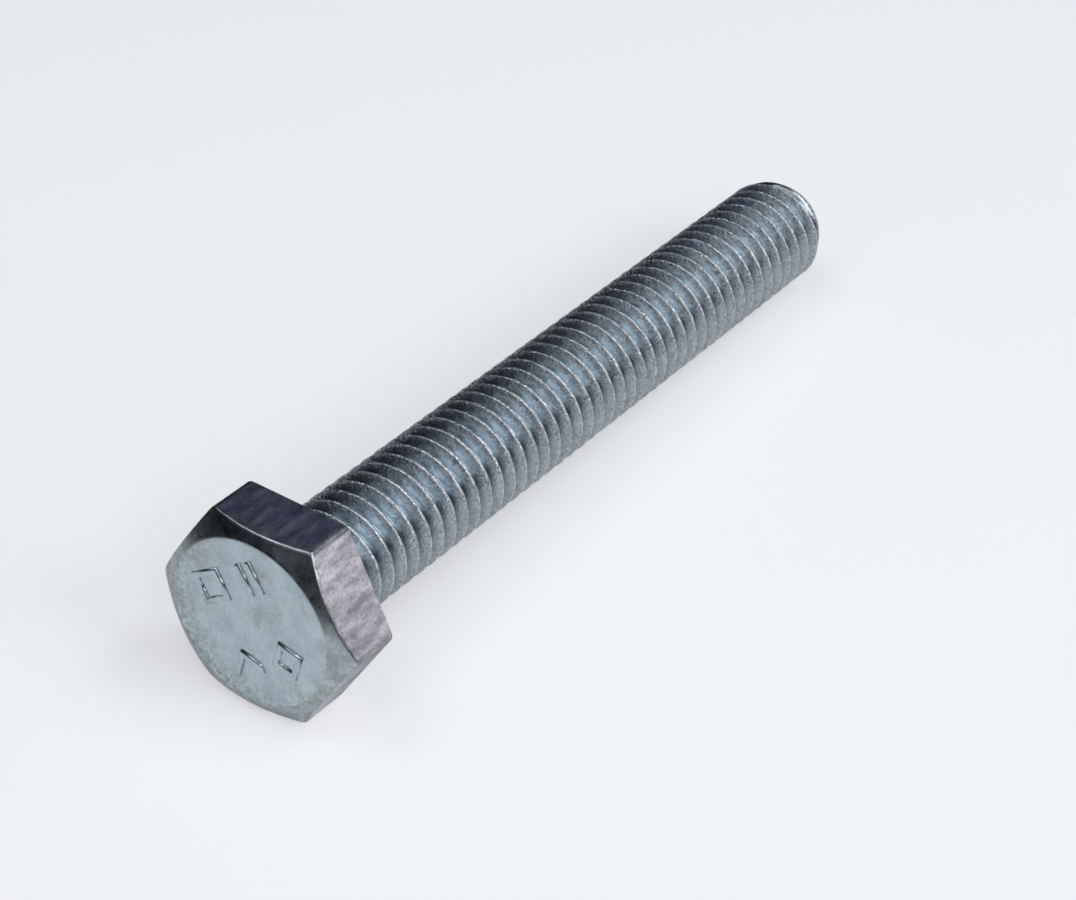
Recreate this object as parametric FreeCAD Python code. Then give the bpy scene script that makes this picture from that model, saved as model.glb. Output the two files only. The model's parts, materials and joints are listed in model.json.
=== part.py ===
import FreeCAD, Part
import math
import os
from FreeCAD import Vector

# Hexagon-head bolt threaded up to the head (a set screw), M6 x 1 by 45 mm nominal, cold forged
# and thread rolled in one piece, so the whole bolt is a single solid.
# Frame: the origin is the centre of the bearing face under the head. +Y runs along the shank to
# the point, the head's marked face looks along -Y, and +Z is square to one of the hexagon's flats.
# All sizes are in millimetres. Profiles of revolution are written as (radius, y) pairs.

ORIGIN = Vector(0, 0, 0)
AXIS = Vector(0, 1, 0)

# Head
ACROSS_FLATS = 9.8
HEAD_HEIGHT = 3.4
CORNER_RADIUS = 0.4            # rounding of the six upright corners
CHAMFER_FACE_RADIUS = 4.38     # radius of the flat round face inside the chamfer
CHAMFER_ANGLE = 30.0           # between the chamfer and the flat face

# Shank and thread
LENGTH = 44.8                  # bearing face to the end of the point
MAJOR_DIAMETER = 5.96
PITCH = 1.0
CREST_PHASE = 2.34             # y of one thread crest on the +Z side
NECK_RADIUS = 2.68             # plain rolled blank under the head, near the pitch radius
NECK_FILLET = 0.4              # between the neck and the bearing face
NECK_END = 1.15                # y where the plain neck ends and the grooves begin
RUNOUT_END = 2.2               # y where the groove reaches its full depth
RUNOUT_SINK = 0.01             # how far the run-out's end dips below the groove's bottom
CREST_RISE = 0.6               # axial length over which the crest grows to full height
CORE_INSET = 0.08              # the threaded blank starts this far inside the neck's surface
POINT_LENGTH = 1.06            # chamfered end of the shank
POINT_RADIUS = 2.38            # radius of the flat end face

# Raised marks on the head: two rows of plain strokes, turned on the round face
MARK_HEIGHT = 0.12
MARK_ROOT = 0.1                # how far a mark's solid reaches into the head
MARK_TURN = 33.0               # angle of the rows from +X towards +Z
ROW_OFFSET = 2.1               # each row's distance from the centre
COLUMN_OFFSET = 1.3            # each mark's distance from the middle of its row
STROKE = 0.34                  # width of a stroke
MARK_SIZE = 1.7                # width and height of a mark
CHEVRON_RISE = 0.85            # how far the chevron's point stands above its feet
DIAMOND_REACH = 1.02           # from the diamond's centre to each corner

# Thread form worked out from the pitch (60 degree thread)
TRIANGLE = PITCH * math.sqrt(3) / 2
CREST_RADIUS = MAJOR_DIAMETER / 2
APEX_RADIUS = CREST_RADIUS - TRIANGLE * 7 / 8
ROOT_ROUNDING = TRIANGLE / 6
ROOT_RADIUS = APEX_RADIUS + ROOT_ROUNDING
FLANK_FOOT_RADIUS = APEX_RADIUS + 1.5 * ROOT_ROUNDING
FLANK_FOOT_HALF = ROOT_ROUNDING * math.sqrt(3) / 2
ROOT_FLAT_HALF = 0.045 * PITCH
CUTTER_OVERLAP = 0.08          # how far the groove's cutter stands out of the crest

# The shank is made of equal sectors, which keeps every crest face short and simple. The first
# one is turned so that no seam between sectors meets the ends of the groove's turns.
SECTORS = 8
SECTOR_START = 11.0


def revolved(points, angle=360.0):
    """The solid of revolution about the bolt's axis of a closed (radius, y) outline."""
    corners = [Vector(radius, y, 0) for radius, y in points]
    outline = Part.makePolygon(corners + corners[:1])
    return Part.Face(outline).revolve(ORIGIN, AXIS, angle)


def in_sectors(points):
    """The same solid of revolution, with its round faces divided into equal sectors."""
    step = 360.0 / SECTORS
    wedges = []
    for index in range(SECTORS):
        wedge = revolved(points, step)
        wedge.rotate(ORIGIN, AXIS, SECTOR_START + index * step)
        wedges.append(wedge)
    return wedges[0].multiFuse(wedges[1:]).Solids[0]


def helix_turn(radius, y):
    """One right-hand turn about the bolt's axis, starting on the +X side."""
    turn = Part.makeHelix(PITCH, PITCH, radius)
    turn.rotate(ORIGIN, Vector(1, 0, 0), -90)
    turn.translate(Vector(0, y, 0))
    return turn.Edges[0]


def groove_outline():
    """Corners of the groove's section as (radius, offset along the axis) pairs."""
    top_radius = CREST_RADIUS + CUTTER_OVERLAP
    top_half = (top_radius - APEX_RADIUS) * math.tan(math.radians(30))
    half = [
        (top_radius, top_half),
        (FLANK_FOOT_RADIUS, FLANK_FOOT_HALF),
        (ROOT_RADIUS, ROOT_FLAT_HALF),
    ]
    return [(radius, -offset) for radius, offset in half] + half[::-1]


def groove():
    """The helical cutter: ruled helical strips, turn by turn, closed by the section at each end."""
    outline = groove_outline()
    # A groove lies half a pitch from the crest. The helix starts a quarter turn on from +Z.
    first = (CREST_PHASE + 0.75 * PITCH) % PITCH
    turns = math.ceil((LENGTH - first) / PITCH) + 1
    strips = []
    for index in range(turns):
        y = first + index * PITCH
        edges = [helix_turn(radius, y + offset) for radius, offset in outline]
        for start, end in zip(edges, edges[1:] + edges[:1]):
            strips.append(Part.makeRuledSurface(start, end))
    for y in (first, first + turns * PITCH):
        corners = [Vector(radius, y + offset, 0) for radius, offset in outline]
        strips.append(Part.Face(Part.makePolygon(corners + corners[:1])))
    shell = Part.makeShell([face for strip in strips for face in strip.Faces])
    shell.sewShape()
    cutter = Part.makeSolid(shell)
    if cutter.Volume < 0:
        cutter.reverse()
    return cutter


def threaded_shank():
    """The rolled thread, from inside the neck to the chamfered point."""
    inner = NECK_RADIUS - CORE_INSET
    blank = in_sectors([
        (0, NECK_FILLET),
        (inner, NECK_FILLET),
        (inner, NECK_END),
        (CREST_RADIUS, NECK_END + CREST_RISE),
        (CREST_RADIUS, LENGTH - POINT_LENGTH),
        (POINT_RADIUS, LENGTH),
        (0, LENGTH),
    ])
    return blank.cut(groove()).Solids[0]


def neck():
    """The plain neck with its fillet, tapering into the groove's bottom where the thread runs out."""
    fillet_centre = Vector(NECK_RADIUS + NECK_FILLET, NECK_FILLET, 0)
    fillet_start = Vector(fillet_centre.x, 0, 0)
    fillet_end = Vector(NECK_RADIUS, fillet_centre.y, 0)
    halfway = fillet_centre - Vector(1, 1, 0).normalize() * NECK_FILLET
    corners = [
        fillet_end,
        Vector(NECK_RADIUS, NECK_END, 0),
        Vector(ROOT_RADIUS - RUNOUT_SINK, RUNOUT_END, 0),
        Vector(0, RUNOUT_END, 0),
        Vector(0, -HEAD_HEIGHT / 2, 0),
        Vector(fillet_start.x, -HEAD_HEIGHT / 2, 0),
        fillet_start,
    ]
    edges = [Part.Arc(fillet_start, halfway, fillet_end).toShape()]
    edges += [Part.LineSegment(a, b).toShape() for a, b in zip(corners, corners[1:])]
    return Part.Face(Part.Wire(edges)).revolve(ORIGIN, AXIS, 360)


def hexagon_prism():
    """The hexagonal head before it is chamfered, with its upright corners rounded."""
    reach = ACROSS_FLATS / math.sqrt(3)
    corners = []
    for index in range(6):
        angle = math.radians(60 * index)
        corners.append(Vector(reach * math.cos(angle), -HEAD_HEIGHT, reach * math.sin(angle)))
    prism = Part.Face(Part.makePolygon(corners + corners[:1])).extrude(Vector(0, HEAD_HEIGHT, 0))
    upright = [edge for edge in prism.Edges if abs(edge.tangentAt(edge.FirstParameter).y) > 0.99]
    return prism.makeFillet(CORNER_RADIUS, upright)


def chamfer_envelope():
    """The cone that trims the head's outer corners around the flat round face."""
    reach = ACROSS_FLATS
    drop = (reach - CHAMFER_FACE_RADIUS) * math.tan(math.radians(CHAMFER_ANGLE))
    return revolved([
        (0, -HEAD_HEIGHT),
        (CHAMFER_FACE_RADIUS, -HEAD_HEIGHT),
        (reach, -HEAD_HEIGHT + drop),
        (reach, HEAD_HEIGHT),
        (0, HEAD_HEIGHT),
    ])


def raised(outline):
    """A raised solid on the head from its outline in (across, up) pairs, seen from in front."""
    corners = [Vector(across, MARK_ROOT - HEAD_HEIGHT, up) for across, up in outline]
    face = Part.Face(Part.makePolygon(corners + corners[:1]))
    return face.extrude(Vector(0, -MARK_ROOT - MARK_HEIGHT, 0))


def rectangle(width, height, across=0.0):
    """Corners of an upright rectangle centred at (across, 0)."""
    w, h = width / 2, height / 2
    return [(across - w, -h), (across + w, -h), (across + w, h), (across - w, h)]


def diamond(reach):
    """Corners of a square standing on its corner."""
    return [(reach, 0), (0, reach), (-reach, 0), (0, -reach)]


def square_frame():
    """An open square."""
    inside = MARK_SIZE - 2 * STROKE
    return [raised(rectangle(MARK_SIZE, MARK_SIZE)).cut(raised(rectangle(inside, inside)))]


def twin_bars():
    """Two upright bars, one stroke's width apart."""
    return [raised(rectangle(STROKE, MARK_SIZE, side * STROKE)) for side in (-1, 1)]


def chevron():
    """An arrowhead that points up."""
    w, h = MARK_SIZE / 2, CHEVRON_RISE / 2
    lift = STROKE * math.sqrt(2)
    return [raised([(-w, -h), (0, h), (w, -h), (w, lift - h), (0, lift + h), (-w, lift - h)])]


def diamond_frame():
    """An open square standing on its corner."""
    inside = DIAMOND_REACH - STROKE * math.sqrt(2)
    return [raised(diamond(DIAMOND_REACH)).cut(raised(diamond(inside)))]


def marks():
    """Four plain raised marks, two in each row, where such a head carries its grade and maker."""
    layout = [
        (square_frame(), -1, 1),
        (twin_bars(), 1, 1),
        (chevron(), -1, -1),
        (diamond_frame(), 1, -1),
    ]
    solids = []
    for strokes, column, row in layout:
        for stroke in strokes:
            stroke.translate(Vector(column * COLUMN_OFFSET, 0, row * ROW_OFFSET))
            stroke.rotate(ORIGIN, AXIS, -MARK_TURN)
            solids.append(stroke)
    return solids


def hex_bolt():
    """The whole bolt: head, neck, threaded shank and marks in one solid."""
    head = hexagon_prism().common(chamfer_envelope())
    body = head.fuse(neck()).fuse(threaded_shank())
    return body.multiFuse(marks()).Solids[0]


os.makedirs("parts", exist_ok=True)
bolt = hex_bolt()
if not bolt.isValid():
    raise ValueError("the bolt is not a valid solid")
bolt.exportStep("parts/hex_bolt.step")
print("hex_bolt", "faces", len(bolt.Faces), "volume", round(bolt.Volume, 2), "box", bolt.BoundBox)
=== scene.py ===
import json
import math

import bmesh
import bpy
import numpy as np
from mathutils import Matrix, Vector, noise


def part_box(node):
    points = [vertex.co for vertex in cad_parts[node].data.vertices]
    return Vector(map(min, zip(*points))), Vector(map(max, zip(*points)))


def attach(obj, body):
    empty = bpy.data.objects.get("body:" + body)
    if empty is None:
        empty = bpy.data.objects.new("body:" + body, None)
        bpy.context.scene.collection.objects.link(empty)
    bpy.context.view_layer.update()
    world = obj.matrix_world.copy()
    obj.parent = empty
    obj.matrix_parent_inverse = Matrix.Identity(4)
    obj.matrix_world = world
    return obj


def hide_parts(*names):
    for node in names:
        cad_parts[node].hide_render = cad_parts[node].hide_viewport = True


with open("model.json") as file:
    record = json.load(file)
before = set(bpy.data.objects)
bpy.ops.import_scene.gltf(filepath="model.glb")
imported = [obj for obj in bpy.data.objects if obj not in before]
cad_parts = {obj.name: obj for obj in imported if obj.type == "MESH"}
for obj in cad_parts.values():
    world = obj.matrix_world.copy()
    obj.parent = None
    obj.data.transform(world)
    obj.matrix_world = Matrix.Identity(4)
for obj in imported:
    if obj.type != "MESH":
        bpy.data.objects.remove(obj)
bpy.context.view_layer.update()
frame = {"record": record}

# A zinc-plated hexagon head screw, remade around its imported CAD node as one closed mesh. Lengths
# here are in millimetres and become metres in build_mesh. The frame is the CAD one: +Y runs along
# the shank, the marked end of the head looks along -Y, and turns count from +Z towards +X.
NODE = "hex_bolt"
MM = 0.001
TURN = 2 * math.pi


def mount(name):
    """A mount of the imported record."""
    return next(m for m in frame["record"]["mounts"] if m["name"] == name)


# Sizes read from the frame
BOX_LOW, BOX_HIGH = (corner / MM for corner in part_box(NODE))
LENGTH = BOX_HIGH.y
CREST_RADIUS = mount("thread")["dims"]["r_mm"]
FLAT_DISTANCE = mount("drive_flat_top")["pos_m"][2] / MM

# Sizes of the head
MARK_HEIGHT = 0.12
HEAD_HEIGHT = -BOX_LOW.y - MARK_HEIGHT
CORNER_RADIUS = 0.4
FACE_RADIUS = 4.38
CHAMFER_SLOPE = math.tan(math.radians(30))

# Sizes of the neck and thread
PITCH = 1.0
CREST_PHASE = 2.34
NECK_RADIUS = 2.68
NECK_FILLET = 0.4
RUNOUT_START, RUNOUT_END = 1.15, 2.2
CREST_START, CREST_FULL = 1.15, 1.75
POINT_LENGTH = 1.06
POINT_RADIUS = 2.38
TRIANGLE = PITCH * math.sqrt(3) / 2
APEX_RADIUS = CREST_RADIUS - TRIANGLE * 7 / 8
ROOT_RADIUS = APEX_RADIUS + TRIANGLE / 6

# The surface's materials, and the segments of the head's profile from the face to the neck
FACE, CHAMFER, FLATS, THREAD = range(4)
SEGMENT_PARTS = (FACE, CHAMFER, FLATS, FLATS, THREAD)
UNDERSIDE = 3                  # number of the segment under the head
HEAD_ROUNDINGS = (0.1, 0.1, 0.1, NECK_FILLET)

# How the surface is divided
COLUMNS = 144
CORNER_CROWDING = 0.8          # how strongly the head's columns gather at its six corners
HELIX_START = 0.9              # y where the plain rings give way to rows that follow the thread
HELIX_END = LENGTH - 0.05      # y where they give way to the rings of the end
HEAD_ROW_SPACING = 0.35        # about the most that two rows of the head stand apart
FIRST_RING = 0.2               # radius of the innermost ring of the head's face
EVENING_DEPTH = 1.5            # how far in from the head's side its columns have evened out
SNAP = 0.004                   # rows this near to an end's ring stop on it
# Rings of the end: how far each stands inside the last row and short of the end
END_RINGS = ((0.02, 0.015), (0.06, 0), (0.12, 0), (1.2, 0))
# Rows in one pitch, by distance from the crest's middle in pitches
THREAD_STEPS = (
    -0.5, -0.42, -0.35, -0.1, -0.078, -0.055, -0.034, 0.0,
    0.034, 0.055, 0.078, 0.1, 0.35, 0.42,
)
CREST_ROUNDING = 0.05
ROOT_ROUNDING = 0.1
SHANK_BLEND = 0.05             # rounding between the thread and the cones at its two ends
# The cones at the thread's ends are moved by these amounts to make up for that rounding
CONE_SHIFT = 0.02
CREST_EXCESS = 0.1
ROOT_EXCESS = 0.12
# Distances in pitches from the crest's middle
CREST_SPAN = (0.085, 0.13)     # where the crest's painted highlight and rougher finish start to fade and are gone
ROOT_SPAN = (0.31, 0.45)       # where the painted shade in the root starts and is full
CREST_JITTER = 0.014           # unevenness of the rolled crest
CREST_GRAIN = 4.0              # uneven spots in a millimetre of crest
NOISE_SEED = 1                 # keeps the crests' unevenness the same on every run
HEAD_WAVES = 0.006             # unevenness of the forged head
HEAD_GRAIN = 0.6               # waves in a millimetre of head


def smooth_max(a, b, blend):
    """The larger of two values, with a rounded change from one to the other."""
    h = np.clip(0.5 + 0.5 * (a - b) / blend, 0, 1)
    return b + (a - b) * h + blend * h * (1 - h)


def smooth_min(a, b, blend):
    """The smaller of two values, with a rounded change from one to the other."""
    return -smooth_max(-a, -b, blend)


def hexagon_radius(turn):
    """Distance from the axis to the hexagon's side, with its upright corners rounded."""
    off = np.abs((turn + TURN / 12) % (TURN / 6) - TURN / 12)
    inner = FLAT_DISTANCE - CORNER_RADIUS
    tangent = math.atan(inner * math.tan(TURN / 12) / FLAT_DISTANCE)
    centre = inner / math.cos(TURN / 12)
    beside = TURN / 12 - off
    side = FLAT_DISTANCE / np.cos(off)
    rise = CORNER_RADIUS ** 2 - (centre * np.sin(beside)) ** 2
    corner = centre * np.cos(beside) + np.sqrt(np.maximum(rise, 0))
    return np.where(off < tangent, side, corner)


def thread_radius(step):
    """Radius of the thread's section, by distance from the crest's middle in pitches."""
    off = np.abs(step) * PITCH
    flank = APEX_RADIUS + (PITCH / 2 - off) * math.sqrt(3)
    crested = smooth_min(flank, CREST_RADIUS, CREST_ROUNDING)
    return smooth_max(crested, ROOT_RADIUS, ROOT_ROUNDING)


def ramp(value, start, end):
    """0 up to start, 1 from end on, and straight between them."""
    return np.clip((value - start) / (end - start), 0, 1)


def shank_radius(y, step):
    """Radius of the shank where the thread starts from the neck and ends in the point."""
    growth = CREST_RADIUS + CREST_EXCESS - NECK_RADIUS
    grown = NECK_RADIUS - CONE_SHIFT + growth * ramp(y, CREST_START, CREST_FULL)
    along_point = y - LENGTH + POINT_LENGTH
    taper = CREST_RADIUS - POINT_RADIUS
    pointed = CREST_RADIUS + CONE_SHIFT - taper * along_point / POINT_LENGTH
    depth = NECK_RADIUS - ROOT_RADIUS + ROOT_EXCESS
    floor = NECK_RADIUS - depth * ramp(y, RUNOUT_START, RUNOUT_END)
    radius = smooth_min(thread_radius(step), np.minimum(grown, pointed), SHANK_BLEND)
    return smooth_max(radius, floor, SHANK_BLEND)


def rounded_profile(corners, roundings, steps=5, guard=0.06):
    """Points along a polyline given column by column, with rounded corners.

    corners is a list of (radius, y) pairs of arrays. Each inner corner is rounded over the length
    in roundings, and gets a guard point outside each end, which keeps the faces beside it flat.
    Each point comes with the number of the polyline's segment that it ends.
    """
    points = [(0, np.array(corners[0]))]
    inner = zip(corners, corners[1:], corners[2:], roundings)
    for segment, (before, corner, after, reach) in enumerate(inner):
        before, corner, after = (np.array(p) for p in (before, corner, after))
        back = (before - corner) / np.linalg.norm(before - corner, axis=0)
        ahead = (after - corner) / np.linalg.norm(after - corner, axis=0)
        points.append((segment, corner + back * (reach + guard)))
        start, end = corner + back * reach, corner + ahead * reach
        for t in np.linspace(0, 1, steps):
            curved = (1 - t) ** 2 * start + 2 * t * (1 - t) * corner + t ** 2 * end
            points.append((segment + (t > 0.5), curved))
        points.append((segment + 1, corner + ahead * (reach + guard)))
    points.append((len(corners) - 2, np.array(corners[-1])))
    return points


def subdivided(points, spacing):
    """The same rows with more between those that stand far apart."""
    rows = points[:1]
    for segment, point in points[1:]:
        start = rows[-1][1]
        parts = max(1, math.ceil(np.abs(point - start).max(axis=0).mean() / spacing))
        rows += [(segment, start + (point - start) * (i + 1) / parts) for i in range(parts)]
    return rows


def head_rows():
    """Rows of the head and neck from the face's centre to where the thread's rows begin."""
    even = np.arange(COLUMNS) * TURN / COLUMNS
    crowded = even - CORNER_CROWDING / 6 * np.sin(6 * (even - TURN / 12))
    side = hexagon_radius(crowded)
    flat = np.zeros(COLUMNS)
    corners = [
        (flat + FIRST_RING, flat - HEAD_HEIGHT),
        (flat + FACE_RADIUS, flat - HEAD_HEIGHT),
        (side, (side - FACE_RADIUS) * CHAMFER_SLOPE - HEAD_HEIGHT),
        (side, flat),
        (flat + NECK_RADIUS, flat),
        (flat + NECK_RADIUS, flat + HELIX_START),
    ]
    rows = subdivided(rounded_profile(corners, HEAD_ROUNDINGS), HEAD_ROW_SPACING)
    # The columns are evenly spaced again by the time they reach the neck
    result = []
    for segment, (radius, y) in rows:
        evenness = ramp(side - radius, 0, EVENING_DEPTH) if segment >= UNDERSIDE else 0
        result.append((segment, crowded + (even - crowded) * evenness, radius, y))
    return result


class Grid:
    """Vertices and faces of the bolt's one closed surface."""

    def __init__(self):
        self.points = []
        self.crest = []
        self.root = []
        self.faces = []
        self.parts = []

    def add(self, turn, radius, y, crest=0.0, root=0.0):
        """Adds a vertex of the thread, whose crest is a little uneven."""
        place = Vector((radius * math.sin(turn), y, radius * math.cos(turn)))
        if crest > 0:
            place += noise.noise_vector(place * CREST_GRAIN) * crest * CREST_JITTER
        self.points.append(place)
        self.crest.append(crest)
        self.root.append(root)
        return len(self.points) - 1

    def add_forged(self, turn, radius, y):
        """Adds a vertex of the head, whose faces are a little wavy."""
        index = self.add(turn, radius, y)
        wave = noise.noise(self.points[index] * HEAD_GRAIN) * HEAD_WAVES
        self.points[index] += self.points[index].normalized() * wave
        return index

    def ring(self, turns, radii, ys):
        """Adds a ring of vertices without any unevenness."""
        return [self.add(*values) for values in zip(turns, radii, ys)]

    def face(self, corners, part):
        """Adds a face of one of the parts, without the corners that coincide."""
        distinct = [c for c, following in zip(corners, corners[1:] + corners[:1]) if c != following]
        if len(set(distinct)) > 2:
            self.faces.append(distinct)
            self.parts.append(part)

    def strip(self, lower, upper, part):
        """Faces between two rows that have one more entry than they have columns."""
        for j in range(len(lower) - 1):
            self.face([lower[j], lower[j + 1], upper[j + 1], upper[j]], part)

    def fan(self, centre, row, part):
        """Triangles from one vertex to a row."""
        for j in range(len(row) - 1):
            self.face([centre, row[j], row[j + 1]], part)


def closed(row):
    """A ring's row with its first entry again at the end."""
    return row + row[:1]


def add_head(grid):
    """Adds the head and the neck and gives the last ring."""
    last = None
    for segment, turns, radii, ys in head_rows():
        add = grid.add_forged if segment < UNDERSIDE else grid.add
        row = [add(*values) for values in zip(turns, radii, ys)]
        if last is None:
            grid.fan(grid.add(0, 0, -HEAD_HEIGHT), closed(row), FACE)
        else:
            grid.strip(closed(last), closed(row), SEGMENT_PARTS[segment])
        last = row
    return last


def add_thread(grid, first_ring):
    """Adds the rows that follow the thread. Rows that would pass either end stop on its ring."""
    turns = np.arange(COLUMNS) * TURN / COLUMNS
    first = math.floor((HELIX_START - CREST_PHASE) / PITCH) - 2
    last = math.ceil((HELIX_END - CREST_PHASE) / PITCH) + 1
    end_step = (HELIX_END - CREST_PHASE) / PITCH - turns / TURN
    end_radius = shank_radius(np.full(COLUMNS, HELIX_END), (end_step + 0.5) % 1 - 0.5)
    last_ring = grid.ring(turns, end_radius, [HELIX_END] * COLUMNS)
    rows = []
    for n in range(first, last + 1):
        for step in THREAD_STEPS:
            y = CREST_PHASE + (n + step + turns / TURN) * PITCH
            radius = shank_radius(y, np.full(COLUMNS, step))
            # The crest's mask, which carries its jitter, roughness and painted highlight
            crest = 1 - ramp(abs(step), *CREST_SPAN)
            # The root's mask, which the thread's material turns into painted shade in the grooves
            root = ramp(abs(step), *ROOT_SPAN)
            row = []
            for j in range(COLUMNS):
                if y[j] <= HELIX_START + SNAP:
                    row.append(first_ring[j])
                elif y[j] >= HELIX_END - SNAP:
                    row.append(last_ring[j])
                else:
                    row.append(grid.add(turns[j], radius[j], y[j], crest, root))
            rows.append(row)
    steps = len(THREAD_STEPS)
    # One turn further round, a row continues in the row one pitch on
    for i in range(len(rows) - 1):
        joined = [rows[k + steps][0] if k + steps < len(rows) else last_ring[0] for k in (i, i + 1)]
        grid.strip(rows[i] + joined[:1], rows[i + 1] + joined[1:], THREAD)
    return last_ring, end_radius


def add_end(grid, ring, radius):
    """Closes the point with its flat end face."""
    turns = np.arange(COLUMNS) * TURN / COLUMNS
    for inset, short in END_RINGS:
        row = grid.ring(turns, radius - inset, [LENGTH - short] * COLUMNS)
        grid.strip(closed(ring), closed(row), THREAD)
        ring = row
    grid.fan(grid.add(0, 0, LENGTH), closed(ring)[::-1], THREAD)


def build_mesh():
    """The bolt's surface in metres, with its parts as materials and its crest and root marked."""
    noise.seed_set(NOISE_SEED)
    grid = Grid()
    ring = add_head(grid)
    add_end(grid, *add_thread(grid, ring))
    mesh = bpy.data.meshes.new("bolt")
    mesh.from_pydata([Vector(p) * MM for p in grid.points], [], grid.faces)
    for name, values in (("crest", grid.crest), ("root", grid.root)):
        mesh.attributes.new(name, "FLOAT", "POINT").data.foreach_set("value", values)
    mesh.polygons.foreach_set("material_index", grid.parts)
    mesh.polygons.foreach_set("use_smooth", [True] * len(grid.faces))
    whole = bmesh.new()
    whole.from_mesh(mesh)
    bmesh.ops.recalc_face_normals(whole, faces=whole.faces)
    whole.to_mesh(mesh)
    whole.free()
    return mesh


# ---------------------------------------------------------------------------------- materials

SPECK_COLOUR = (0.10, 0.11, 0.14, 1)
STAIN_COLOUR = (0.33, 0.31, 0.25, 1)
RIM_COLOUR = (0.17, 0.15, 0.11, 1)
# The head's face is cleanest round this point and gathers brown specks towards the opposite rim
CLEAN_CENTRE = Vector((0.8, -HEAD_HEIGHT, 0.8)) * MM
CLEAN_REACH = (3.7, 6.2)       # distances from it at which the specks set in and are full
# The crests' near-white colour is a painted highlight
CREST_HIGHLIGHT_COLOUR = (1.0, 1.0, 0.98, 1)
ROOT_SHADE_COLOUR = (0.05, 0.06, 0.08, 1)
ROOT_SHADE_STRENGTH = 0.8            # how much of the root's painted shade covers the plating there
CREST_RELIEF = 0.08            # depth of the crest's serrations in the finish
CREST_ROUGHNESS = 0.03         # how much rougher the crest is than the flanks

# Noises of the finish: features to a millimetre, detail and roughness
PATCH_NOISE = (2.0, 3.0, 0.6)
FINE_NOISE = (9.0, 2.0, 0.6)
SPECK_NOISE = (6.5, 3.0, 0.7)
STAIN_NOISE = (0.55, 6.0, 0.75)
RIM_SPECK_NOISE = (3.2, 6.0, 0.8)
SERRATION_NOISE = (6.0, 2.0, 0.7)
MOTTLE_CHARACTER = (4.0, 0.6)  # the mottle's detail and roughness
# Values of the noises between which each effect goes from none to full
MOTTLE_FADE = (0.36, 0.64)
SPECK_FADE = (0.44, 0.62)
STAIN_FADE = (0.52, 0.68)
RIM_SPECK_FADE = (0.46, 0.58)
SERRATION_FADE = (0.42, 0.54)
LEAST_CREST_HIGHLIGHT = 0.2               # how much of the crest's painted highlight is left between serrations

# Each part's finish. Dents and grain are depths in millimetres, mottle_scale counts
# features to a millimetre, and specks, stains and rim say how strong each effect is.
# The face's and marks' lighter plating colour is partly painted light, standing in for light that
# the mirrored floor doesn't give them
BRIGHTENED_FACE_LOOK = {
    "light": (0.64, 0.72, 0.76), "dark": (0.52, 0.60, 0.65), "gloss": (0.26, 0.36),
    "mottle_scale": 0.8, "dents": 0.003, "grain": 0.001,
    "specks": 0.12, "stains": 0.6, "rim": 0.9, "stretch": (1, 1, 1),
}
MARKS_LOOK = {**BRIGHTENED_FACE_LOOK, "rim": 0}
CHAMFER_LOOK = {
    "light": (0.60, 0.66, 0.68), "dark": (0.42, 0.46, 0.48), "gloss": (0.24, 0.34),
    "mottle_scale": 1.2, "dents": 0.004, "grain": 0.002,
    "specks": 0.25, "stains": 0.5, "rim": 0.6, "stretch": (1, 1, 1),
}
FLATS_LOOK = {
    "light": (0.94, 0.90, 0.94), "dark": (0.44, 0.44, 0.50), "gloss": (0.26, 0.44),
    "mottle_scale": 1.8, "dents": 0.014, "grain": 0.004,
    "specks": 0.35, "stains": 0.1, "rim": 0, "stretch": (1, 0.3, 1),
}
THREAD_LOOK = {
    "light": (0.56, 0.67, 0.74), "dark": (0.41, 0.51, 0.58), "gloss": (0.22, 0.27),
    "mottle_scale": 1.5, "dents": 0.003, "grain": 0.005,
    "specks": 0.3, "stains": 0.1, "rim": 0, "stretch": (1, 1, 1),
}

CARD_COLOUR = (0.9, 0.98, 1.0, 1)
CARD_STRENGTH = 0.28
CARD_EDGE = (-4.0, 2.0)        # the card ends in front of the head
TABLE_EDGE = (22.0, 40.0)      # how far from the screw the mirrored table fades out
FLOOR_SHADE = 0.8
ROOM_SHADE = 0.05              # the mirrored floor's shade past the table
FLOOR_GLOW = 0.42              # brightens the floor that the camera sees

NOISE_RANGE = (0.3, 0.7)       # most of a noise's values lie between these


def node(tree, kind, inputs=(), **settings):
    """Adds a shader node, sets its properties and sockets, and links what is given as a socket."""
    made = tree.nodes.new(kind)
    for name, value in settings.items():
        setattr(made, name, value)
    for name, value in dict(inputs).items():
        if isinstance(value, bpy.types.NodeSocket):
            tree.links.new(value, made.inputs[name])
        else:
            made.inputs[name].default_value = value
    return made


def noise_socket(tree, coords, scale, detail, roughness, stretch=(1, 1, 1)):
    """Noise between 0 and 1. scale counts features to a millimetre."""
    scales = [share * scale / MM for share in stretch]
    placed = node(tree, "ShaderNodeMapping", {"Vector": coords, "Scale": scales})
    settings = {"Vector": placed.outputs[0], "Scale": 1.0, "Detail": detail, "Roughness": roughness}
    return node(tree, "ShaderNodeTexNoise", settings).outputs[0]


def ranged(tree, value, low, high, start=NOISE_RANGE[0], end=NOISE_RANGE[1]):
    """A value carried from the range start to end over to the range low to high, and held there."""
    settings = {"Value": value, "From Min": start, "From Max": end, "To Min": low, "To Max": high}
    return node(tree, "ShaderNodeMapRange", settings).outputs[0]


def bumped(tree, height, depth, below=None):
    """Surface relief of a depth in millimetres, on top of another one."""
    made = node(tree, "ShaderNodeBump", {"Height": height, "Strength": 1.0, "Distance": depth * MM})
    if below is not None:
        tree.links.new(below, made.inputs["Normal"])
    return made.outputs[0]


def mixed_colour(tree, factor, first, second):
    """The first colour where the factor is 0 and the second where it is 1."""
    # The mix node repeats its sockets for each type of data. These are the factor and colours.
    return node(tree, "ShaderNodeMix", {0: factor, 6: first, 7: second}, data_type="RGBA").outputs[2]


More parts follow.
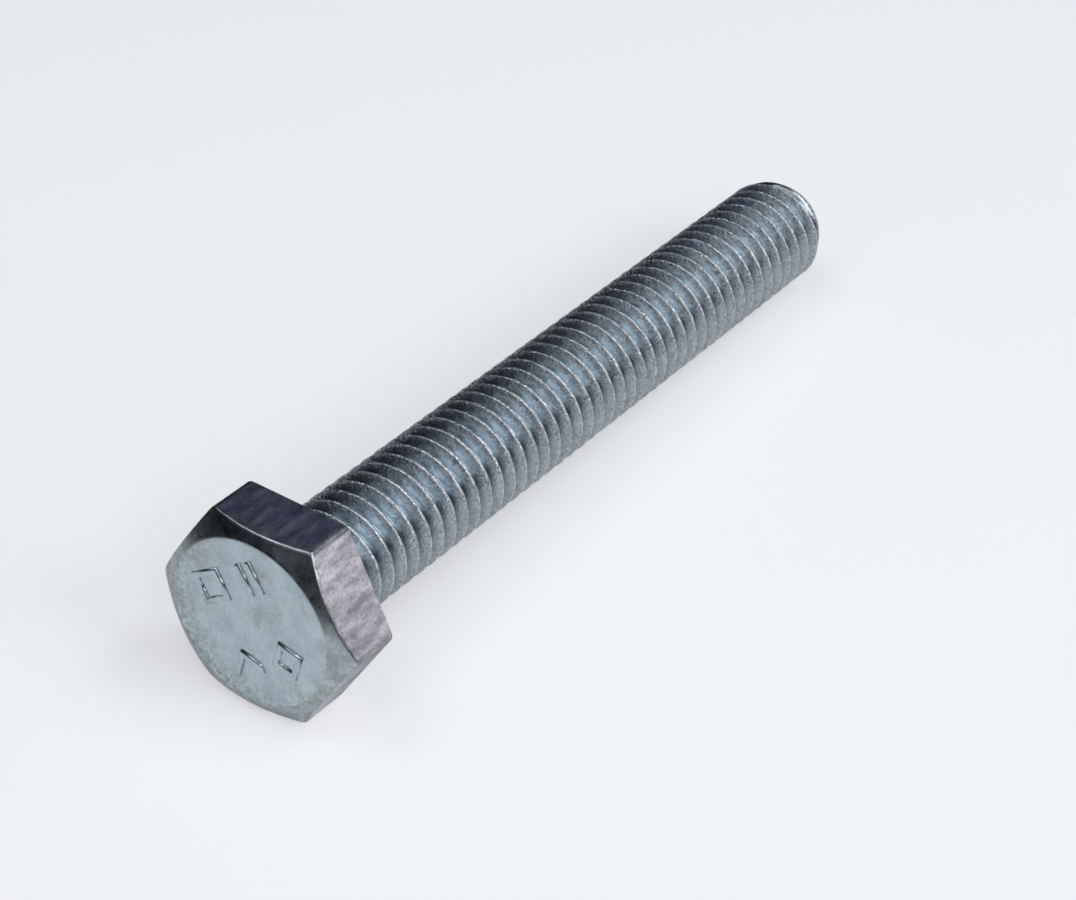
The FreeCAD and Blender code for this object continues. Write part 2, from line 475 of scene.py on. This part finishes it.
def attribute(tree, name):
    """A value that the mesh carries at its vertices."""
    return node(tree, "ShaderNodeAttribute", attribute_name=name).outputs["Fac"]


def calculated(tree, operation, first, second=0.0):
    """The result of one operation of the math node."""
    return node(tree, "ShaderNodeMath", {0: first, 1: second}, operation=operation).outputs[0]


def product(tree, first, second):
    """Two values multiplied."""
    return calculated(tree, "MULTIPLY", first, second)


def new_material(name):
    """A material with no nodes yet."""
    made = bpy.data.materials.new(name)
    made.use_nodes = True
    made.node_tree.nodes.clear()
    return made


def zinc_colour(tree, coords, look):
    """Mottled, speckled and stained colour, with brown specks at one side of the head."""
    mottle = noise_socket(tree, coords, look["mottle_scale"], *MOTTLE_CHARACTER, look["stretch"])
    specks = noise_socket(tree, coords, *SPECK_NOISE)
    stains = noise_socket(tree, coords, *STAIN_NOISE)
    rim_specks = noise_socket(tree, coords, *RIM_SPECK_NOISE)
    apart = node(tree, "ShaderNodeVectorMath", {0: coords, 1: CLEAN_CENTRE}, operation="DISTANCE")
    start, end = (reach * MM for reach in CLEAN_REACH)
    rim = ranged(tree, apart.outputs["Value"], 0, look["rim"], start, end)
    rim = product(tree, rim, ranged(tree, rim_specks, 0, 1, *RIM_SPECK_FADE))
    light, dark = (*look["light"], 1), (*look["dark"], 1)
    colour = mixed_colour(tree, ranged(tree, mottle, 0, 1, *MOTTLE_FADE), light, dark)
    speckled = ranged(tree, specks, 0, look["specks"], *SPECK_FADE)
    colour = mixed_colour(tree, speckled, colour, SPECK_COLOUR)
    stained = ranged(tree, stains, 0, look["stains"], *STAIN_FADE)
    colour = mixed_colour(tree, stained, colour, STAIN_COLOUR)
    return mixed_colour(tree, rim, colour, RIM_COLOUR)


def thread_finish(tree, coords, colour, gloss, relief):
    """Adds painted shade in the thread's roots and a painted highlight on its serrated, slightly
    rougher crests.
    """
    crest = attribute(tree, "crest")
    # Painted shade: the roots are darkened where the crests hide them from the light
    root_shade = product(tree, attribute(tree, "root"), ROOT_SHADE_STRENGTH)
    colour = mixed_colour(tree, root_shade, colour, ROOT_SHADE_COLOUR)
    serrated = noise_socket(tree, coords, *SERRATION_NOISE)
    # Painted highlight along the crests, broken up by the serrations
    crest_highlight = product(tree, crest, ranged(tree, serrated, LEAST_CREST_HIGHLIGHT, 1, *SERRATION_FADE))
    colour = mixed_colour(tree, crest_highlight, colour, CREST_HIGHLIGHT_COLOUR)
    relief = bumped(tree, product(tree, serrated, crest), CREST_RELIEF, relief)
    gloss = calculated(tree, "ADD", gloss, product(tree, crest, CREST_ROUGHNESS))
    return colour, gloss, relief


def zinc(name, look, threaded=False):
    """Zinc plating with a part's own colour, uneven gloss, shallow dents and fine grain."""
    made = new_material(name)
    tree = made.node_tree
    coords = node(tree, "ShaderNodeTexCoord").outputs["Object"]
    patches = noise_socket(tree, coords, *PATCH_NOISE, look["stretch"])
    fine = noise_socket(tree, coords, *FINE_NOISE, look["stretch"])
    colour = zinc_colour(tree, coords, look)
    gloss = ranged(tree, patches, *look["gloss"])
    relief = bumped(tree, fine, look["grain"], bumped(tree, patches, look["dents"]))
    if threaded:
        colour, gloss, relief = thread_finish(tree, coords, colour, gloss, relief)
    plating = {"Base Color": colour, "Metallic": 1.0, "Roughness": gloss, "Normal": relief}
    shader = node(tree, "ShaderNodeBsdfPrincipled", plating)
    node(tree, "ShaderNodeOutputMaterial", {"Surface": shader.outputs[0]})
    return made


def distance_from_screw(tree, place):
    """Distance on the floor, in metres, from the screw's length."""
    half = LENGTH / 2 * MM
    from_middle = calculated(tree, "ABSOLUTE", calculated(tree, "SUBTRACT", place.outputs[1], half))
    past_end = calculated(tree, "MAXIMUM", calculated(tree, "SUBTRACT", from_middle, half), 0.0)
    sizes = [calculated(tree, "ABSOLUTE", value) for value in (place.outputs[0], past_end)]
    squares = [calculated(tree, "POWER", size, 2.0) for size in sizes]
    return calculated(tree, "SQRT", calculated(tree, "ADD", *squares))


def mirrored_floor(tree):
    """What the plating mirrors: a small pale table in a darker room, with a pale card on it."""
    coords = node(tree, "ShaderNodeTexCoord").outputs["Object"]
    place = node(tree, "ShaderNodeSeparateXYZ", {0: coords})
    distance = distance_from_screw(tree, place)
    start, end = (edge * MM for edge in TABLE_EDGE)
    shade = ranged(tree, distance, FLOOR_SHADE, ROOM_SHADE, start, end)
    table = node(tree, "ShaderNodeBsdfDiffuse", {"Color": shade})
    start, end = (edge * MM for edge in CARD_EDGE)
    before_head = ranged(tree, place.outputs[1], CARD_STRENGTH, 0, start, end)
    glow = {"Color": CARD_COLOUR, "Strength": product(tree, shade, before_head)}
    card = node(tree, "ShaderNodeEmission", glow)
    return node(tree, "ShaderNodeAddShader", {0: table.outputs[0], 1: card.outputs[0]}).outputs[0]


def seen_floor(tree):
    """The plain pale floor that the camera sees."""
    grey = (FLOOR_SHADE, FLOOR_SHADE, FLOOR_SHADE, 1)
    lit = node(tree, "ShaderNodeBsdfDiffuse", {"Color": grey})
    glow = node(tree, "ShaderNodeEmission", {"Color": (1, 1, 1, 1), "Strength": FLOOR_GLOW})
    return node(tree, "ShaderNodeAddShader", {0: lit.outputs[0], 1: glow.outputs[0]}).outputs[0]


def plain_floor():
    """The floor's material, which differs between what the camera sees and what is mirrored."""
    made = new_material("floor")
    tree = made.node_tree
    ray = node(tree, "ShaderNodeLightPath").outputs["Is Camera Ray"]
    shaders = {0: ray, 1: mirrored_floor(tree), 2: seen_floor(tree)}
    mixed = node(tree, "ShaderNodeMixShader", shaders)
    node(tree, "ShaderNodeOutputMaterial", {"Surface": mixed.outputs[0]})
    return made


# ---------------------------------------------------------------------------------- the marks

MARK_ROOT = 0.1                # how far the marks reach into the head
MARK_TURN = 33.0               # angle of the rows of marks from +X towards +Z
MARK_ROUNDING = 0.1
ROW_OFFSET = 2.1               # each row's distance from the centre
COLUMN_OFFSET = 1.3            # each mark's distance from the middle of its row
STROKE = 0.34
MARK_SIZE = 1.7
CHEVRON_RISE = 0.85            # how far the chevron's point stands above its feet
DIAMOND_REACH = 1.02           # from the diamond's centre to each corner


def rectangle(width, height, across=0.0):
    """Corners of an upright rectangle centred at (across, 0)."""
    w, h = width / 2, height / 2
    return [(across - w, -h), (across + w, -h), (across + w, h), (across - w, h)]


def diamond(reach):
    """Corners of a square standing on its corner."""
    return [(reach, 0), (0, reach), (-reach, 0), (0, -reach)]


def mark_outlines():
    """Outlines of the four marks, each with its column and row on the head."""
    inside = MARK_SIZE - 2 * STROKE
    lift = STROKE * math.sqrt(2)
    w, h = MARK_SIZE / 2, CHEVRON_RISE / 2
    chevron = [(-w, -h), (0, h), (w, -h), (w, lift - h), (0, lift + h), (-w, lift - h)]
    return [
        ([rectangle(MARK_SIZE, MARK_SIZE), rectangle(inside, inside)], -1, 1),
        ([rectangle(STROKE, MARK_SIZE, side * STROKE) for side in (-1, 1)], 1, 1),
        ([chevron], -1, -1),
        ([diamond(DIAMOND_REACH), diamond(DIAMOND_REACH - lift)], 1, -1),
    ]


def build_marks():
    """The raised marks, as one curve whose rounded strokes stand on the head's face."""
    data = bpy.data.curves.new("marks", "CURVE")
    data.dimensions = "2D"
    data.fill_mode = "BOTH"
    data.extrude = ((MARK_HEIGHT + MARK_ROOT) / 2 - MARK_ROUNDING) * MM
    data.bevel_depth = MARK_ROUNDING * MM
    data.bevel_resolution = 3
    data.offset = -MARK_ROUNDING * MM
    for outlines, column, row in mark_outlines():
        for outline in outlines:
            spline = data.splines.new("POLY")
            spline.points.add(len(outline) - 1)
            for point, (across, up) in zip(spline.points, outline):
                place = Vector((across + column * COLUMN_OFFSET, up + row * ROW_OFFSET, 0))
                point.co = (*(place * MM), 1)
            spline.use_cyclic_u = True
    marks = bpy.data.objects.new("marks", data)
    bpy.context.scene.collection.objects.link(marks)
    middle = Vector((0, -HEAD_HEIGHT - (MARK_HEIGHT - MARK_ROOT) / 2, 0)) * MM
    upright = Matrix.Rotation(math.radians(90), 4, "X")
    turned = Matrix.Rotation(math.radians(-MARK_TURN), 4, "Y")
    marks.matrix_world = Matrix.Translation(middle) @ turned @ upright
    return marks


# ---------------------------------------------------------------------------------- the bolt

bolt = bpy.data.objects.new("bolt", build_mesh())
bpy.context.scene.collection.objects.link(bolt)
bolt.data.materials.append(zinc("zinc_face", BRIGHTENED_FACE_LOOK))
bolt.data.materials.append(zinc("zinc_chamfer", CHAMFER_LOOK))
bolt.data.materials.append(zinc("zinc_flats", FLATS_LOOK))
bolt.data.materials.append(zinc("zinc_thread", THREAD_LOOK, threaded=True))
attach(bolt, "root")
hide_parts(NODE)
marks = build_marks()
marks.data.materials.append(zinc("zinc_marks", MARKS_LOOK))
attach(marks, "root")

# ---------------------------------------------------------------------------------- the stage

# The screw lies on the floor on the lower edge of its head and the end of its thread
REST_NEAR = Vector((0, 0, -FLAT_DISTANCE))
REST_FAR = Vector((0, LENGTH - POINT_LENGTH, -CREST_RADIUS))
FLOOR_HALF = 600.0


def add_floor():
    """A plain floor, tilted as the lying screw is."""
    slope = math.atan2(REST_FAR.z - REST_NEAR.z, REST_FAR.y - REST_NEAR.y)
    mesh = bpy.data.meshes.new("floor")
    h = FLOOR_HALF * MM
    mesh.from_pydata([(-h, -h, 0), (h, -h, 0), (h, h, 0), (-h, h, 0)], [], [(0, 1, 2, 3)])
    mesh.materials.append(plain_floor())
    floor = bpy.data.objects.new("floor", mesh)
    bpy.context.scene.collection.objects.link(floor)
    floor.matrix_world = Matrix.Translation(REST_NEAR * MM) @ Matrix.Rotation(slope, 4, "X")


def direction(azimuth, elevation):
    """Unit vector from the screw. Azimuth 0 is in front of the head and 90 on the +X side."""
    a, e = math.radians(azimuth), math.radians(elevation)
    return Vector((math.sin(a) * math.cos(e), -math.cos(a) * math.cos(e), math.sin(e)))


STAGE_CENTRE = Vector((0, 20, 0))
LIGHT_DISTANCE = 400.0
SOFTBOX_WIDTH, SOFTBOX_HEIGHT = 200.0, 170.0
# Softboxes round the screw: azimuth, elevation and radiance
SOFTBOXES = {
    "key_right": (90, 34, (2.77, 2.98, 3.14)),
    "high_right": (120, 62, (2.5, 2.6, 2.8)),
    "high_left": (-60, 62, (1.5, 1.6, 1.75)),
    "high_front": (0, 62, (1.1, 1.15, 1.2)),
    "fill_front_right": (45, 34, (2.7, 2.65, 2.75)),
    "fill_front": (0, 34, (0.46, 0.50, 0.56)),
    "fill_front_left": (-45, 34, (0.08, 0.09, 0.16)),
    "low_right": (135, 8, (1.25, 1.22, 1.3)),
    "dim_back_left": (-150, 34, (0.035, 0.05, 0.10)),
    "low_back": (180, 8, (0.33, 0.56, 0.69)),
    "top": (0, 89, (0.37, 0.45, 0.41)),
}
WORLD_COLOUR = (0.004, 0.004, 0.005)
BACKDROP_COLOUR = (0.72, 0.73, 0.75)


def add_softbox(name, azimuth, elevation, radiance):
    """A rectangular light that faces the screw and isn't seen by the camera."""
    data = bpy.data.lights.new(name, "AREA")
    data.shape = "RECTANGLE"
    data.size, data.size_y = SOFTBOX_WIDTH * MM, SOFTBOX_HEIGHT * MM
    data.color = radiance
    data.energy = math.pi * SOFTBOX_WIDTH * SOFTBOX_HEIGHT * MM * MM
    light = bpy.data.objects.new(name, data)
    bpy.context.scene.collection.objects.link(light)
    towards = direction(azimuth, elevation)
    light.location = (STAGE_CENTRE + towards * LIGHT_DISTANCE) * MM
    light.rotation_euler = towards.to_track_quat("Z", "Y").to_euler()
    light.visible_camera = False


def add_world():
    """A dark room for the plating to mirror, behind a pale backdrop."""
    world = bpy.data.worlds.new("studio")
    world.use_nodes = True
    tree = world.node_tree
    tree.nodes.clear()
    ray = node(tree, "ShaderNodeLightPath").outputs["Is Camera Ray"]
    colour = mixed_colour(tree, ray, (*WORLD_COLOUR, 1), (*BACKDROP_COLOUR, 1))
    background = node(tree, "ShaderNodeBackground", {"Color": colour})
    node(tree, "ShaderNodeOutputWorld", {"Surface": background.outputs[0]})
    bpy.context.scene.world = world


# The camera looks down on the marked end of the head from its right
CAMERA_AZIMUTH = 31.33
CAMERA_ELEVATION = 34.31
CAMERA_ROLL = 5.18
CAMERA_TARGET = Vector((0, 20.33, -2.9))
CAMERA_DISTANCE = 150.5
SENSOR_WIDTH = 36.0
LENS = 97.3
CLIP_START = 0.005             # in metres


def add_camera():
    """The camera, rolled about its line of sight."""
    data = bpy.data.cameras.new("camera")
    data.sensor_width = SENSOR_WIDTH
    data.lens = LENS
    data.clip_start = CLIP_START
    camera = bpy.data.objects.new("camera", data)
    bpy.context.scene.collection.objects.link(camera)
    towards = direction(CAMERA_AZIMUTH, CAMERA_ELEVATION)
    azimuth = math.radians(CAMERA_AZIMUTH)
    level = Vector((math.cos(azimuth), math.sin(azimuth), 0))
    turned = Matrix.Rotation(math.radians(-CAMERA_ROLL), 3, -towards) @ level
    upward = towards.cross(turned)
    axes = Matrix((turned, upward, towards)).transposed().to_4x4()
    camera.matrix_world = Matrix.Translation((CAMERA_TARGET + towards * CAMERA_DISTANCE) * MM) @ axes
    bpy.context.scene.camera = camera


add_floor()
for light_name, (azimuth, elevation, radiance) in SOFTBOXES.items():
    add_softbox(light_name, azimuth, elevation, radiance)
add_world()
add_camera()
bpy.context.scene.view_settings.view_transform = "Standard"
